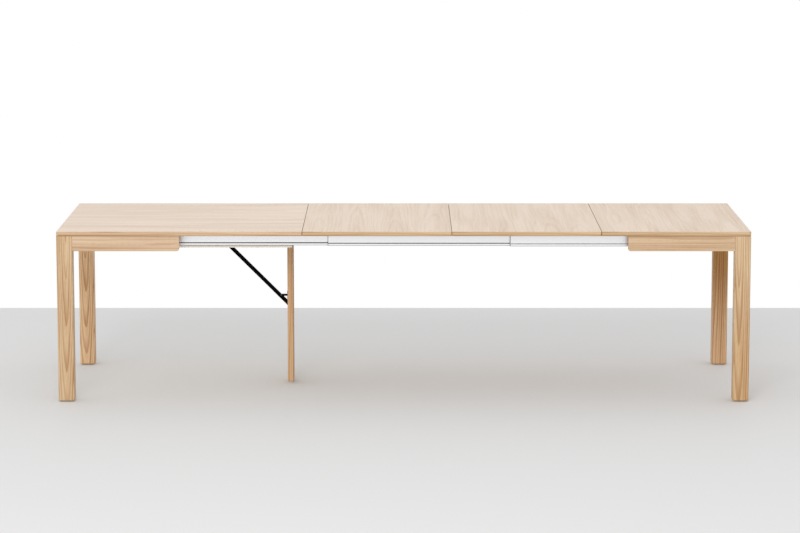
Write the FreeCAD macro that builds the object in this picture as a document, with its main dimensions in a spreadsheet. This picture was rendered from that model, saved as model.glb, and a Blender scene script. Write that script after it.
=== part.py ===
import FreeCAD, Part
import collections
import os
import re

import Sketcher

# An extending dining table, pulled out, with three loose leaves and a folding support leg.
# Millimetres: X along the table, Y from front to rear, Z up, origin on the floor under the middle.

SIZES = (
    ("top_height", 740, "floor to the upper face of the top"),
    ("top_width", 950, "front edge to rear edge"),
    ("top_thick", 20, "thickness of the top and the leaves"),
    ("main_length", 1050, "length of the fixed top, and of the closed table"),
    ("leaf_length", 640, "length that each leaf adds"),
    ("joint_gap", 1.5, "open joint between two panels"),
    ("lipping_thick", 8, "solid strip along a panel's edge"),
    ("glue_line", 0.05, "glue line between two jointed pieces"),
    ("arris_radius", 3.5, "rounding of the panels' outer edges"),
    ("corner_radius", 7.5, "rounding of the top's four outer corners"),
    ("pin_radius", 4, "alignment pin"),
    ("pin_depth", 25, "pin inside the panel that carries it"),
    ("pin_reach", 15, "pin standing out into the next leaf"),
    ("pin_gap", 0.4, "room round a pin in the next leaf's slot"),
    ("leg_size", 68, "square section of the corner legs"),
    ("leg_round", 6, "rounding of the legs' edges"),
    ("glide_thick", 3, "glide under a corner leg"),
    ("glide_radius", 20, "glide under a corner leg"),
    ("apron_height", 65, "height of the aprons"),
    ("apron_thick", 25, "thickness of the side aprons"),
    ("apron_inset", 2, "aprons behind the face of the legs"),
    ("apron_end_round", 9, "rounded lower corner at an apron's free end"),
    ("apron_meeting_gap", 1, "left between the aprons when the table is closed"),
    ("end_apron_thick", 18, "thickness of the end aprons"),
    ("dowel_radius", 4, "dowels between end apron and leg"),
    ("dowel_length", 40, "dowels between end apron and leg"),
    ("block_rise", 10, "corner block above the apron's lower edge"),
    ("running_gap", 0.5, "sliding pieces below the panels"),
    ("rail_height", 54, "height of the fixed rail"),
    ("rail_thick", 14, "thickness of a rail"),
    ("rail_pitch", 16, "from one rail's face to the next one's"),
    ("rail_wall", 2, "wall of a rail's hollow"),
    ("rail_inset", 22, "rail end to table end when the table is closed"),
    ("first_rail_depth", 72, "outer rail's face behind the table's front"),
    ("second_rail_share", 0.249, "second rail's part of the whole travel"),
    ("third_rail_share", 0.592, "third rail's part of the whole travel"),
    ("slot_mouth", 4, "height of a running slot's mouth"),
    ("slot_mouth_depth", 2.5, "depth of a running slot's mouth"),
    ("slot_width", 8, "height of a running slot inside"),
    ("slot_depth", 3.5, "depth of a running slot inside"),
    ("slot_low", 11, "lower slot's middle above the rail's underside"),
    ("slot_high", 47.5, "upper slot's middle above the rail's underside"),
    ("slide_gap", 0.3, "room round a tongue in its slot"),
    ("plug_length", 15, "plug in the end of a rail's hollow"),
    ("plug_fit", 0.1, "room round a plug"),
    ("spacer_length", 60, "block between apron and end rail"),
    ("spacer_height", 40, "block between apron and end rail"),
    ("spacer_end_gap", 12, "block to the apron's free end or the corner block"),
    ("board_thick", 12, "carrier board under the fixed rails"),
    ("board_length", 980, "carrier board along the table"),
    ("support_thick", 25, "folding leg along the table"),
    ("support_width", 120, "folding leg across the table"),
    ("support_round", 3, "rounding of the folding leg's edges"),
    ("support_setback", 5, "folding leg inside the carrier board's end"),
    ("support_glide_height", 10, "glide under the folding leg"),
    ("support_glide_radius", 9, "glide under the folding leg"),
    ("hinge_width", 72, "butt hinge across the table"),
    ("hinge_leaf_length", 40, "hinge leaf from the pin's axis"),
    ("hinge_leaf_thick", 2, "sheet of a hinge leaf"),
    ("knuckle_radius", 4.5, "hinge knuckle"),
    ("knuckle_gap", 0.3, "room between two knuckles"),
    ("hinge_gap", 0.5, "knuckle to the board and to the leg"),
    ("hinge_pin_radius", 2.5, "hinge pin"),
    ("hinge_pin_fit", 0.05, "room round a pin in its hole"),
    ("brace_width", 17, "brace seen from the front"),
    ("brace_thick", 5, "brace across the table"),
    ("brace_reach", 301, "brace pivot to the folding leg, along the table"),
    ("brace_drop", 301, "brace pivot to the brace's foot, downwards"),
    ("brace_foot_gap", 0.4, "brace foot to the folding leg"),
    ("brace_pivot_drop", 10, "brace pivot below the carrier board's upper face"),
    ("brace_pin_radius", 3, "brace pivot"),
    ("rivet_head_radius", 5, "head of the brace pivot"),
    ("rivet_head_thick", 1.5, "head of the brace pivot"),
    ("bracket_length", 48, "bracket plate along the table"),
    ("bracket_flange", 14, "bracket plate beside the board's slot"),
    ("ear_thick", 3, "bracket plate and ears"),
    ("ear_gap", 0.4, "ear to brace"),
    ("board_slot_clear", 4, "room round the brace in the board's slot"),
    ("catch_rise", 36, "catch above the brace's foot"),
    ("catch_thick", 8.5, "height of the catch lug"),
    ("catch_width", 8, "catch lug across the table"),
    ("catch_bite", 6, "catch lug inside the brace's notch"),
    ("catch_gap", 0.5, "room round the catch lug in the notch"),
    ("catch_plate_thick", 2.5, "plate of the catch"),
    ("catch_plate_height", 38, "plate of the catch"),
    ("catch_plate_width", 24, "plate of the catch"),
    ("screw_radius", 1.75, "shank of every screw"),
    ("head_radius", 3.4, "head of every screw"),
    ("head_thick", 1.6, "head of every screw"),
    ("screw_fit", 0.05, "room round a screw, dowel or pin in its hole"),
    ("screw_wall", 0.5, "metal between a screw and the running slot"),
    ("access_gap", 0.3, "room round a screw head in its access hole"),
    ("top_bite", 12, "screw inside the top"),
    ("leg_bite", 28, "screw inside a corner leg"),
    ("apron_bite", 15, "screw inside an apron"),
    ("board_bite", 9, "screw inside the carrier board or a rail's foot"),
    ("spacer_bite", 20, "screw inside a spacer block"),
    ("support_bite", 16, "screw inside the folding leg"),
    ("overrun", 5, "cutting tools past the face they cut"),
)

ENDS = ("left", "right")
SIDES = ("front", "rear")
LEAVES = ("leaf_1", "leaf_2", "leaf_3")
RAILS = (("end", "1"), ("third", "third_rail_share"), ("second", "second_rail_share"), ("fixed", "0"))
PIN_SHARES = (-0.32, 0, 0.32)
DOWEL_SHARES = (0.3, 0.7)
BLOCK_LEG_SCREW_SHARE = 0.33
BLOCK_APRON_SCREW_SHARE = 0.67
BLOCK_TOP_SCREW_SHARE = 0.8
RAIL_SCREW_SHARES = (0.06, 0.35, 0.65, 0.93)
BOARD_SCREW_SHARES = (0.15, 0.5, 0.85)
SPACER_SCREW_SHARES = (0.25, 0.75)
HINGE_ALONG_SHARES = (0.4, 0.78)
HINGE_ACROSS_SHARES = (-0.3, 0.3)
BRACKET_ALONG_SHARES = (-0.33, 0.33)
CATCH_SCREW_SHARES = (-0.32, 0.32)
SUPPORT_GLIDE_SHARES = (-0.33, 0.33)
SAME_PLACE = 1e-6

# A post's edges that are rounded: the four upright ones and the four round its foot.
UPRIGHT_FACES = (("XMin", "YMin"), ("XMin", "YMax"), ("XMax", "YMin"), ("XMax", "YMax"))
FOOT_EDGES = tuple((face, "ZMin") for face in ("XMin", "XMax", "YMin", "YMax"))
POST_EDGES = UPRIGHT_FACES + FOOT_EDGES

# Places that several pieces share, as formulas of the sizes.
TRAVEL = f"({len(LEAVES)} * leaf_length)"
LEFT = f"(-(main_length + {TRAVEL}) / 2)"
FRONT = "(-top_width / 2)"
UNDER = "(top_height - top_thick)"
RAIL_FLOOR = f"({UNDER} - rail_height)"
BOARD_FLOOR = f"({RAIL_FLOOR} - board_thick)"
APRON_FLOOR = f"({UNDER} - apron_height)"
APRON_BACK = "(apron_inset + apron_thick)"
BLOCK_SIZE = f"(leg_size - {APRON_BACK})"
BLOCK_FLOOR = f"({APRON_FLOOR} + block_rise)"
FIXED_RAIL_DEPTH = f"(first_rail_depth + {len(RAILS) - 1} * rail_pitch)"
CHAMBER_LOW = "(slot_low + slot_width / 2 + rail_wall)"
CHAMBER_HIGH = "(slot_high - slot_width / 2 - rail_wall)"
RAIL_LENGTH = "(main_length - 2 * rail_inset)"
RAIL_SCREW_DEPTH = "(slot_mouth_depth + slot_depth + screw_wall + screw_radius)"
LEG_FACE = f"({LEFT} + rail_inset + board_length - support_setback - support_thick)"
HINGE_OFFSET = "(knuckle_radius + hinge_gap)"
HINGE_X = f"({LEG_FACE} - {HINGE_OFFSET})"
HINGE_Z = f"({BOARD_FLOOR} - {HINGE_OFFSET})"
PIVOT_X = f"({LEG_FACE} - brace_reach)"
PIVOT_Z = f"({RAIL_FLOOR} - brace_pivot_drop)"
BRACE_SPAN = "sqrt(brace_reach ^ 2 + brace_drop ^ 2)"
CATCH_Z = f"({PIVOT_Z} - brace_drop + catch_rise)"
CATCH_REACH = f"((catch_rise * brace_reach - brace_width / 2 * {BRACE_SPAN}) / brace_drop + catch_bite)"
EAR_FACE = "(brace_thick / 2 + ear_gap)"
BOARD_SLOT_HALF = f"({EAR_FACE} + ear_thick + board_slot_clear)"

doc = FreeCAD.newDocument("extending_table")
sheet = doc.addObject("Spreadsheet::Sheet", "Sizes")
for row, (alias, value, meaning) in enumerate(SIZES, start=1):
    sheet.set(f"A{row}", meaning)
    sheet.set(f"B{row}", str(value))
    sheet.setAlias(f"B{row}", alias)
doc.recompute()

ALIASES = {alias for alias, value, meaning in SIZES}
blanks = {}
holes = collections.defaultdict(list)


def bind(item, name, formula):
    """Ties one property to a formula whose words are sizes on the sheet."""
    def cell(word):
        return f"Sizes.{word.group()}" if word.group() in ALIASES else word.group()
    item.setExpression(name, re.sub(r"[a-z_]+", cell, formula))


def place(item, corner):
    for axis, formula in zip("xyz", corner):
        bind(item, f"Placement.Base.{axis}", formula)


def along(end, distance, size="0"):
    """X of a piece's lower face, from its distance to one end of the table."""
    if end == "left":
        return f"({LEFT} + {distance})"
    return f"(-{LEFT} - {distance} - {size})"


def across(side, depth, size="0"):
    """Y of a piece's lower face, from its depth behind the front or the rear edge."""
    if side == "front":
        return f"({FRONT} + {depth})"
    return f"(-{FRONT} - {depth} - {size})"


def box(name, corner, size):
    item = doc.addObject("Part::Box", name)
    for side, formula in zip(("Length", "Width", "Height"), size):
        bind(item, side, formula)
    place(item, corner)
    return item


TURNS = {
    "x": FreeCAD.Rotation(FreeCAD.Vector(0, 1, 0), 90),
    "y": FreeCAD.Rotation(FreeCAD.Vector(1, 0, 0), -90),
    "z": FreeCAD.Rotation(),
}


def rod(name, axis, start, radius, length):
    item = doc.addObject("Part::Cylinder", name)
    item.Placement = FreeCAD.Placement(FreeCAD.Vector(), TURNS[axis])
    bind(item, "Radius", radius)
    bind(item, "Height", length)
    place(item, start)
    return item


def fuse(name, shapes):
    item = doc.addObject("Part::MultiFuse", name)
    item.Shapes = shapes
    return item


def cut(name, base, tools):
    item = doc.addObject("Part::Cut", name)
    item.Base = base
    item.Tool = tools[0] if len(tools) == 1 else fuse(f"{name}_tools", tools)
    return item


def group(name, pieces):
    item = doc.addObject("Part::Compound", name)
    item.Links = pieces
    return item


def padded(name, corner, size):
    """A body with a rectangle on its ground plane, raised to its height."""
    body = doc.addObject("PartDesign::Body", f"{name}_body")
    sketch = body.newObject("Sketcher::SketchObject", f"{name}_outline")
    ground = next(plane for plane in body.Origin.OriginFeatures if plane.Role == "XY_Plane")
    sketch.AttachmentSupport = (ground, [""])
    sketch.MapMode = "FlatFace"
    corners = [FreeCAD.Vector(x, y, 0) for x, y in ((0, 0), (1, 0), (1, 1), (0, 1))]
    for start, stop in zip(corners, corners[1:] + corners[:1]):
        sketch.addGeometry(Part.LineSegment(start, stop))
    for line in range(len(corners)):
        following = (line + 1) % len(corners)
        sketch.addConstraint(Sketcher.Constraint("Coincident", line, 2, following, 1))
        sketch.addConstraint(Sketcher.Constraint("Vertical" if line % 2 else "Horizontal", line))
    sketch.addConstraint(Sketcher.Constraint("Coincident", 0, 1, -1, 1))
    for way, line, formula in (("DistanceX", 0, size[0]), ("DistanceY", 1, size[1])):
        number = sketch.addConstraint(Sketcher.Constraint(way, line, 1, line, 2, 1))
        sketch.renameConstraint(number, way)
        bind(sketch, f"Constraints.{way}", formula)
    pad = body.newObject("PartDesign::Pad", f"{name}_pad")
    pad.Profile = sketch
    bind(pad, "Length", size[2])
    place(body, corner)
    doc.recompute()
    return body


def lies_on(edge, bounds, plane):
    """True where an edge lies in one plane of the bounds, such as XMin."""
    return abs(getattr(edge.CenterOfMass, plane[0].lower()) - getattr(bounds, plane)) < SAME_PLACE


def rounded(name, corner, size, steps):
    """A padded body, rounded in steps: each takes the edges that lie in all planes of any chosen set."""
    body = padded(name, corner, size)
    for number, (radius, chosen) in enumerate(steps, start=1):
        last = body.Tip
        bounds = last.Shape.BoundBox
        edges = []
        for edge_number, edge in enumerate(last.Shape.Edges, start=1):
            if any(all(lies_on(edge, bounds, plane) for plane in planes) for planes in chosen):
                edges.append(f"Edge{edge_number}")
        fillet = body.newObject("PartDesign::Fillet", f"{name}_rounding_{number}")
        fillet.Base = (last, edges)
        bind(fillet, "Radius", radius)
        body.Tip = fillet
        doc.recompute()
    return body


def screw(name, axis, way, seat, length, drilled):
    """A screw whose head lies on its seat and whose shank runs up (1) or down (-1) the axis."""
    number = "xyz".index(axis)
    shank_start = list(seat)
    head_start = list(seat)
    if way > 0:
        head_start[number] = f"({seat[number]} - head_thick)"
    else:
        shank_start[number] = f"({seat[number]} - {length})"
    shank = rod(f"{name}_shank", axis, shank_start, "screw_radius", length)
    head = rod(f"{name}_head", axis, head_start, "head_radius", "head_thick")
    bore = rod(f"{name}_bore", axis, shank_start, "(screw_radius + screw_fit)", length)
    for piece in drilled:
        holes[piece].append(bore)
    return fuse(name, [shank, head])


# The top panels: a veneered core and solid lipping on the edges that show.
def panel(label, start, length, free_end=None):
    core_start = f"({start} + lipping_thick)" if free_end == "left" else start
    core_size = (
        f"({length} - lipping_thick)" if free_end else length,
        "(top_width - 2 * lipping_thick)",
        "top_thick",
    )
    core_front = across("front", "lipping_thick")
    blanks[label] = box(f"{label}_core", (core_start, core_front, UNDER), core_size)

    outer_end = {"left": "XMin", "right": "XMax"}.get(free_end)
    joint_ends = [plane for plane in ("XMin", "XMax") if plane != outer_end]
    end_edges = [(outer_end, level) for level in ("ZMin", "ZMax")] if free_end else []
    strips = []
    for side, outer in zip(SIDES, ("YMin", "YMax")):
        long_edges = [(outer, level) for level in ("ZMin", "ZMax")]
        joint_edges = [(outer, plane) for plane in joint_ends]
        steps = [("corner_radius", [(outer, outer_end)])] if free_end else []
        steps.append(("arris_radius", long_edges + joint_edges + end_edges))
        strip_corner = (start, across(side, "0", "lipping_thick"), UNDER)
        strip_size = (length, "lipping_thick", "top_thick")
        strips.append(rounded(f"{label}_{side}_strip", strip_corner, strip_size, steps))
    if free_end:
        end_start = start if free_end == "left" else f"({start} + {length} - lipping_thick)"
        end_size = ("lipping_thick", f"({core_size[1]} - 2 * glue_line)", "top_thick")
        end_corner = (end_start, across("front", "(lipping_thick + glue_line)"), UNDER)
        strips.append(rounded(f"{label}_end_strip", end_corner, end_size, [("arris_radius", end_edges)]))
    blanks[f"{label}_lipping"] = group(f"{label}_strips", strips)


def alignment_pins(carrier, receiver, edge):
    """Pins in one panel's edge, and slots open below in the next leaf, which lifts straight off them."""
    middle = f"({UNDER} + top_thick / 2)"
    hole_radius = "(pin_radius + screw_fit)"
    slot_radius = "(pin_radius + pin_gap)"
    slot_length = "(pin_reach + joint_gap + overrun)"
    pins = []
    for number, share in enumerate(PIN_SHARES, start=1):
        name = f"{carrier}_pin_{number}"
        seat = (f"({edge} - pin_depth)", f"({share} * top_width)", middle)
        pins.append(rod(name, "x", seat, "pin_radius", "(pin_depth + pin_reach)"))
        holes[carrier].append(rod(f"{name}_hole", "x", seat, hole_radius, "pin_depth"))
        mouth = f"({edge} - overrun)"
        holes[receiver].append(rod(f"{name}_slot", "x", (mouth, seat[1], middle), slot_radius, slot_length))
        holes[receiver].append(box(
            f"{name}_way_out",
            (mouth, f"({seat[1]} - {slot_radius})", f"({UNDER} - overrun)"),
            (slot_length, f"(2 * {slot_radius})", "(overrun + top_thick / 2)"),
        ))
    blanks[f"{carrier}_pins"] = group(f"{carrier}_pin_set", pins)


PANELS = ("main_top",) + LEAVES
panel("main_top", LEFT, "main_length", "left")
for number, leaf in enumerate(LEAVES):
    leaf_start = f"({LEFT} + main_length + {number} * leaf_length + joint_gap)"
    panel(leaf, leaf_start, "(leaf_length - joint_gap)", "right" if leaf == LEAVES[-1] else None)
for number, (carrier, receiver) in enumerate(zip(PANELS, LEAVES)):
    alignment_pins(carrier, receiver, f"({LEFT} + main_length + {number} * leaf_length)")


# The two end frames: corner legs, aprons, corner blocks, dowels and glides.
def corner(end, side):
    crown = UNDER if end == "left" else f"({UNDER} - running_gap)"
    leg = f"{side}_{end}_leg"
    leg_corner = (along(end, "0", "leg_size"), across(side, "0", "leg_size"))
    blanks[leg] = rounded(
        leg,
        leg_corner + ("glide_thick",),
        ("leg_size", "leg_size", f"({crown} - glide_thick)"),
        [("leg_round", POST_EDGES)],
    )
    centre = tuple(f"({edge} + leg_size / 2)" for edge in leg_corner)
    glide = rod(f"{leg}_glide", "z", centre + ("0",), "glide_radius", "glide_thick")

    apron = f"{side}_{end}_apron"
    apron_length = "(main_length / 2 - leg_size - apron_meeting_gap / 2)"
    free_face = "XMax" if end == "left" else "XMin"
    blanks[apron] = rounded(
        apron,
        (along(end, "leg_size", apron_length), across(side, "apron_inset", "apron_thick"), APRON_FLOOR),
        (apron_length, "apron_thick", f"({crown} - {APRON_FLOOR})"),
        [("apron_end_round", [(free_face, "ZMin")])],
    )

    block = f"{side}_{end}_corner_block"
    block_height = f"({crown} - {BLOCK_FLOOR})"
    blanks[block] = box(
        f"{block}_piece",
        (along(end, "leg_size", BLOCK_SIZE), across(side, APRON_BACK, BLOCK_SIZE), BLOCK_FLOOR),
        (BLOCK_SIZE, BLOCK_SIZE, block_height),
    )
    screws = [
        screw(
            f"{block}_leg_screw", "x", -1 if end == "left" else 1,
            (along(end, f"(leg_size + {BLOCK_SIZE})"), across(side, f"({APRON_BACK} + {BLOCK_SIZE} / 2)"),
             f"({BLOCK_FLOOR} + {BLOCK_LEG_SCREW_SHARE} * {block_height})"),
            f"({BLOCK_SIZE} + leg_bite)", (block, leg),
        ),
        screw(
            f"{block}_apron_screw", "y", -1 if side == "front" else 1,
            (along(end, f"(leg_size + {BLOCK_SIZE} / 2)"), across(side, "leg_size"),
             f"({BLOCK_FLOOR} + {BLOCK_APRON_SCREW_SHARE} * {block_height})"),
            f"({BLOCK_SIZE} + apron_bite)", (block, apron),
        ),
    ]
    if end == "left":
        screws.append(screw(
            f"{block}_top_screw", "z", 1,
            (along(end, f"(leg_size + {BLOCK_TOP_SCREW_SHARE} * {BLOCK_SIZE})"),
             across(side, f"({APRON_BACK} + {BLOCK_TOP_SCREW_SHARE} * {BLOCK_SIZE})"), BLOCK_FLOOR),
            f"({block_height} + top_bite)", (block, "main_top"),
        ))

    dowels = []
    for number, share in enumerate(DOWEL_SHARES, start=1):
        start = (
            along(end, "(apron_inset + end_apron_thick / 2)"),
            across(side, "(leg_size - dowel_length / 2)", "dowel_length"),
            f"({APRON_FLOOR} + {share} * apron_height)",
        )
        name = f"{leg}_dowel_{number}"
        dowels.append(rod(name, "y", start, "dowel_radius", "dowel_length"))
        bore = rod(f"{name}_bore", "y", start, "(dowel_radius + screw_fit)", "dowel_length")
        holes[leg].append(bore)
        holes[f"{end}_end_apron"].append(bore)
    return glide, screws, dowels


def end_frame(end):
    crown = UNDER if end == "left" else f"({UNDER} - running_gap)"
    blanks[f"{end}_end_apron"] = box(
        f"{end}_end_apron_piece",
        (along(end, "apron_inset", "end_apron_thick"), across("front", "leg_size"), APRON_FLOOR),
        ("end_apron_thick", "(top_width - 2 * leg_size)", f"({crown} - {APRON_FLOOR})"),
    )
    corners = [corner(end, side) for side in SIDES]
    glides, screws, dowels = zip(*corners)
    blanks[f"{end}_leg_glides"] = group(f"{end}_glides", list(glides))
    blanks[f"{end}_block_screws"] = group(f"{end}_screws", sum(screws, []))
    blanks[f"{end}_end_dowels"] = group(f"{end}_dowels", sum(dowels, []))


for end in ENDS:
    end_frame(end)


# The telescopic rails: hollow bars with slots in front, and tongues behind that run in the next rail.
def rail(stage, side, depth, start, height):
    label = f"{side}_{stage}_rail"

    def bar(name, first, size, low, tall, ahead="0"):
        """A bar along the rail, from a depth and a level inside it, run past both ends where it cuts."""
        return box(
            f"{label}_{name}",
            (f"({start} - {ahead})", across(side, f"({depth} + {first})", size), f"({RAIL_FLOOR} + {low})"),
            (f"({RAIL_LENGTH} + 2 * {ahead})", size, tall),
        )

    chamber_thick = "(rail_thick - 2 * rail_wall)"
    chamber_tall = f"({CHAMBER_HIGH} - {CHAMBER_LOW})"
    solids = [bar("blank", "0", "rail_thick", "0", height)]
    hollows = [bar("chamber", "rail_wall", chamber_thick, CHAMBER_LOW, chamber_tall, "overrun")]
    for level in ("slot_low", "slot_high"):
        mouth_low = f"({level} - slot_mouth / 2)"
        mouth_thick = "(overrun + slot_mouth_depth)"
        hollows.append(bar(f"{level}_mouth", "(-overrun)", mouth_thick, mouth_low, "slot_mouth", "overrun"))
        inner_low = f"({level} - slot_width / 2)"
        hollows.append(bar(level, "slot_mouth_depth", "slot_depth", inner_low, "slot_width", "overrun"))
        if stage != "fixed":
            tongue_start = "(rail_pitch + slot_mouth_depth + slide_gap)"
            neck_thick = f"({tongue_start} - rail_thick)"
            neck_tall = "(slot_mouth - 2 * slide_gap)"
            neck_low = f"({level} - {neck_tall} / 2)"
            solids.append(bar(f"{level}_neck", "rail_thick", neck_thick, neck_low, neck_tall))
            tongue_thick = "(slot_depth - 2 * slide_gap)"
            tongue_tall = "(slot_width - 2 * slide_gap)"
            tongue_low = f"({level} - {tongue_tall} / 2)"
            solids.append(bar(f"{level}_tongue", tongue_start, tongue_thick, tongue_low, tongue_tall))
    outer = solids[0] if stage == "fixed" else fuse(f"{label}_outer", solids)
    blanks[label] = cut(f"{label}_profile", outer, hollows)

    plugs = []
    for number, share in enumerate(("0", "1"), start=1):
        plug_start = f"({start} + {share} * ({RAIL_LENGTH} - plug_length))"
        plug_corner = (
            plug_start,
            across(side, f"({depth} + rail_wall + plug_fit)", f"({chamber_thick} - 2 * plug_fit)"),
            f"({RAIL_FLOOR} + {CHAMBER_LOW} + plug_fit)",
        )
        plugs.append(box(
            f"{label}_plug_{number}",
            plug_corner,
            ("plug_length", f"({chamber_thick} - 2 * plug_fit)", f"({chamber_tall} - 2 * plug_fit)"),
        ))
    return plugs


for order, (stage, travel_share) in enumerate(RAILS):
    rail_depth = f"(first_rail_depth + {order} * rail_pitch)"
    rail_start = f"({LEFT} + rail_inset + {travel_share} * {TRAVEL})"
    rail_tall = "rail_height" if stage == "fixed" else "(rail_height - running_gap)"
    rail_plugs = [rail(stage, side, rail_depth, rail_start, rail_tall) for side in SIDES]
    blanks[f"{stage}_rail_plugs"] = group(f"{stage}_plugs", sum(rail_plugs, []))


# Screws from the fixed rails' hollow up into the top, and from the carrier board up into the rails.
access_radius = "(head_radius + access_gap)"
rail_screws = []
board_screws = []
for side in SIDES:
    fixed_rail = f"{side}_fixed_rail"
    screw_y = across(side, f"({FIXED_RAIL_DEPTH} + {RAIL_SCREW_DEPTH})")
    for number, share in enumerate(RAIL_SCREW_SHARES, start=1):
        screw_x = along("left", f"(rail_inset + {share} * {RAIL_LENGTH})")
        name = f"{fixed_rail}_screw_{number}"
        rail_screws.append(screw(
            name, "z", 1,
            (screw_x, screw_y, f"({RAIL_FLOOR} + {CHAMBER_HIGH})"),
            f"(rail_height - {CHAMBER_HIGH} + top_bite)", (fixed_rail, "main_top"),
        ))
        access_start = (screw_x, screw_y, f"({RAIL_FLOOR} - overrun)")
        access_length = f"(overrun + {CHAMBER_LOW} + overrun)"
        holes[fixed_rail].append(rod(f"{name}_access", "z", access_start, access_radius, access_length))
    for number, share in enumerate(BOARD_SCREW_SHARES, start=1):
        board_screws.append(screw(
            f"{side}_board_screw_{number}", "z", 1,
            (along("left", f"(rail_inset + {share} * board_length)"), screw_y, BOARD_FLOOR),
            "(board_thick + board_bite)", ("carrier_board", fixed_rail),
        ))
blanks["fixed_rail_screws"] = group("fixed_screws", rail_screws)
blanks["carrier_board_screws"] = group("board_screws", board_screws)


# Blocks that hold the end rails to the right aprons, screwed on from the rails' hollow.
spacers = []
spacer_screws = []
spacer_thick = f"(first_rail_depth - {APRON_BACK})"
spacer_places = (
    f"(leg_size + {BLOCK_SIZE} + spacer_end_gap)",
    "(main_length / 2 - apron_meeting_gap / 2 - spacer_end_gap - spacer_length)",
)
chamber_middle = f"({RAIL_FLOOR} + ({CHAMBER_LOW} + {CHAMBER_HIGH}) / 2)"
for side in SIDES:
    end_rail = f"{side}_end_rail"
    for number, distance in enumerate(spacer_places, start=1):
        spacer_x = along("right", distance, "spacer_length")
        spacer = f"{side}_spacer_{number}"
        spacer_blank = box(
            f"{spacer}_blank",
            (spacer_x, across(side, APRON_BACK, spacer_thick), f"({chamber_middle} - spacer_height / 2)"),
            ("spacer_length", spacer_thick, "spacer_height"),
        )
        for place_number, share in enumerate(SPACER_SCREW_SHARES, start=1):
            name = f"{spacer}_screw_{place_number}"
            screw_x = f"({spacer_x} + {share} * spacer_length)"
            spacer_screws.append(screw(
                name, "y", -1 if side == "front" else 1,
                (screw_x, across(side, "(first_rail_depth + rail_wall)"), chamber_middle),
                "(rail_wall + spacer_bite)", (spacer, end_rail),
            ))
            access_y = across(side, "(first_rail_depth + rail_thick / 2)", "rail_thick")
            access_start = (screw_x, access_y, chamber_middle)
            holes[end_rail].append(rod(f"{name}_access", "y", access_start, access_radius, "rail_thick"))
        spacers.append(cut(spacer, spacer_blank, holes[spacer]))
blanks["rail_spacers"] = group("spacer_set", spacers)
blanks["rail_spacer_screws"] = group("spacer_screws", spacer_screws)


# The carrier board, jointed from four boards round the slot that the brace and the catch fold into.
slot_start = f"({PIVOT_X} - {BRACE_SPAN} - brace_width - board_slot_clear)"
slot_stop = f"({HINGE_X} - {HINGE_Z} + {CATCH_Z} + catch_thick / 2 + board_slot_clear)"
board_start = along("left", "rail_inset")
board_width = f"(top_width - 2 * {FIXED_RAIL_DEPTH})"
cheek_width = f"({board_width} / 2 - {BOARD_SLOT_HALF})"
boards = []
for end, end_start, end_length in (
    ("left", board_start, f"({slot_start} - {board_start})"),
    ("right", slot_stop, f"({board_start} + board_length - {slot_stop})"),
):
    end_corner = (end_start, across("front", FIXED_RAIL_DEPTH), BOARD_FLOOR)
    boards.append(box(f"carrier_{end}_board", end_corner, (end_length, board_width, "board_thick")))
for side in SIDES:
    boards.append(box(
        f"carrier_{side}_board",
        (f"({slot_start} + glue_line)", across(side, FIXED_RAIL_DEPTH, cheek_width), BOARD_FLOOR),
        (f"({slot_stop} - {slot_start} - 2 * glue_line)", cheek_width, "board_thick"),
    ))
blanks["carrier_board"] = group("carrier_boards", boards)

# The folding leg and its two glides.
blanks["support_leg"] = rounded(
    "support_leg",
    (LEG_FACE, "(-support_width / 2)", "support_glide_height"),
    ("support_thick", "support_width", f"({BOARD_FLOOR} - support_glide_height)"),
    [("support_round", POST_EDGES)],
)
blanks["support_leg_glides"] = group("support_glides", [
    rod(
        f"support_glide_{number}", "z",
        (f"({LEG_FACE} + support_thick / 2)", f"({share} * support_width)", "0"),
        "support_glide_radius", "support_glide_height",
    )
    for number, share in enumerate(SUPPORT_GLIDE_SHARES, start=1)
])

# The butt hinge: one leaf under the board with the outer knuckles, one on the leg with the middle one.
knuckle = "(hinge_width / 3)"
leaf_reach = f"(hinge_leaf_length - {HINGE_OFFSET})"
pin_bore = rod(
    "hinge_pin_bore", "y", (HINGE_X, "(-hinge_width / 2 - overrun)", HINGE_Z),
    "(hinge_pin_radius + hinge_pin_fit)", "(hinge_width + 2 * overrun)",
)
board_leaf_z = f"({BOARD_FLOOR} - hinge_leaf_thick)"
board_leaf = [box(
    "hinge_board_plate",
    (f"({HINGE_X} - hinge_leaf_length)", "(-hinge_width / 2)", board_leaf_z),
    (leaf_reach, "hinge_width", "hinge_leaf_thick"),
)]
for side, knuckle_y in zip(SIDES, ("(-hinge_width / 2)", f"(hinge_width / 2 - {knuckle})")):
    tab_corner = (f"({HINGE_X} - {HINGE_OFFSET})", knuckle_y, board_leaf_z)
    board_leaf.append(box(f"hinge_{side}_tab", tab_corner, (HINGE_OFFSET, knuckle, "hinge_leaf_thick")))
    knuckle_start = (HINGE_X, knuckle_y, HINGE_Z)
    board_leaf.append(rod(f"hinge_{side}_knuckle", "y", knuckle_start, "knuckle_radius", knuckle))
blanks["hinge_board_leaf"] = fuse("hinge_board_leaf_blank", board_leaf)
holes["hinge_board_leaf"].append(pin_bore)

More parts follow.
